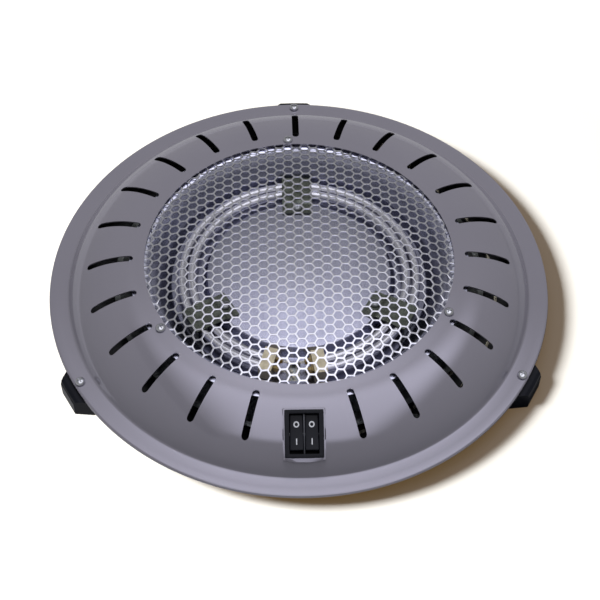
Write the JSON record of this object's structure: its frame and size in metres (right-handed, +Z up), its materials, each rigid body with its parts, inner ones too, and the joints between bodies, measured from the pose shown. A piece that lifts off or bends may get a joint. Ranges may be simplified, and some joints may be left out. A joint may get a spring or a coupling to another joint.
{
  "type": "flat electric floor heater",
  "caption": "Flat round electric floor heater with a domed slotted steel ring, a honeycomb grille, ring-shaped tubular elements over a dished reflector, rocker switches and low feet.",
  "frame": {"origin": "on the floor, in the middle of the heater's bounding box; the ring's axis stands 3.2 mm towards -Y of it, because the rear foot reaches past the rim", "axes": "+X to the right as the user faces the switch, +Y away from the user, towards the rear foot, +Z up; the switch is towards -Y"},
  "size_m": [0.36, 0.3664, 0.0544],
  "materials": {
    "ring_paint": "gloss lacquer, silver grey",
    "grille_steel": "bright nickel plating",
    "bright_aluminium": "bright rolled",
    "galvanised_steel": "zinc coated, matte",
    "black_paint": "semi-matte stove enamel",
    "element_steel": "bright annealed stainless",
    "black_plastic": "moulded, gloss",
    "chrome_steel": "polished plating",
    "zinc_steel": "bright zinc plating",
    "steatite": "unglazed ceramic",
    "brass": "turned",
    "bush_rubber": "moulded, matte",
    "lead_sleeve": "woven glass-fibre sleeve"
  },
  "bodies": {
    "heater": {"top_ring": "ring_paint", "grille": "grille_steel", "reflector": "bright_aluminium", "heat_shield": "galvanised_steel", "thermal_cutout": "galvanised_steel", "element_clamp_rear": "galvanised_steel", "element_clamp_right": "galvanised_steel", "element_clamp_left": "galvanised_steel", "base_pan": "black_paint", "element_outer": "element_steel", "element_inner": "element_steel", "switch_housing": "black_plastic", "foot_rear": "black_plastic", "foot_right": "black_plastic", "foot_left": "black_plastic", "rim_screw_rear": "chrome_steel", "rim_screw_right": "chrome_steel", "rim_screw_left": "chrome_steel", "grille_screw_rear": "chrome_steel", "grille_screw_right": "chrome_steel", "grille_screw_left": "chrome_steel", "rocker_pin": "zinc_steel", "clamp_screw_rear": "zinc_steel", "grille_nut_rear": "zinc_steel", "shield_spacer_rear": "zinc_steel", "shield_screw_rear": "zinc_steel", "shield_nut_rear": "zinc_steel", "clamp_screw_right": "zinc_steel", "grille_nut_right": "zinc_steel", "shield_spacer_right": "zinc_steel", "shield_screw_right": "zinc_steel", "shield_nut_right": "zinc_steel", "clamp_screw_left": "zinc_steel", "grille_nut_left": "zinc_steel", "shield_spacer_left": "zinc_steel", "shield_screw_left": "zinc_steel", "shield_nut_left": "zinc_steel", "end_block_left": "steatite", "end_block_right": "steatite", "supply_block": "steatite", "terminal_pin_left_outer": "brass", "terminal_pin_left_inner": "brass", "terminal_pin_right_outer": "brass", "terminal_pin_right_inner": "brass", "neutral_link": "brass", "switch_blade_left": "brass", "switch_blade_right": "brass", "switch_common_bar": "brass", "cord_bush": "bush_rubber", "lead_power_outer": "lead_sleeve", "lead_power_inner": "lead_sleeve", "lead_neutral": "lead_sleeve", "lead_live": "lead_sleeve", "lead_switch": "lead_sleeve"},
    "rocker_left": {"rocker_left": "black_plastic"},
    "rocker_right": {"rocker_right": "black_plastic"}
  },
  "joints": [
    {"name": "rocker_left_tilt", "type": "hinge", "parent": "heater", "child": "rocker_left", "pos_m": [-0.00505, -0.14527, 0.03286], "axis": [1, 0, 0], "range_deg": [0, 22]},
    {"name": "rocker_right_tilt", "type": "hinge", "parent": "heater", "child": "rocker_right", "pos_m": [0.00505, -0.14527, 0.03286], "axis": [1, 0, 0], "range_deg": [0, 22]}
  ]
}
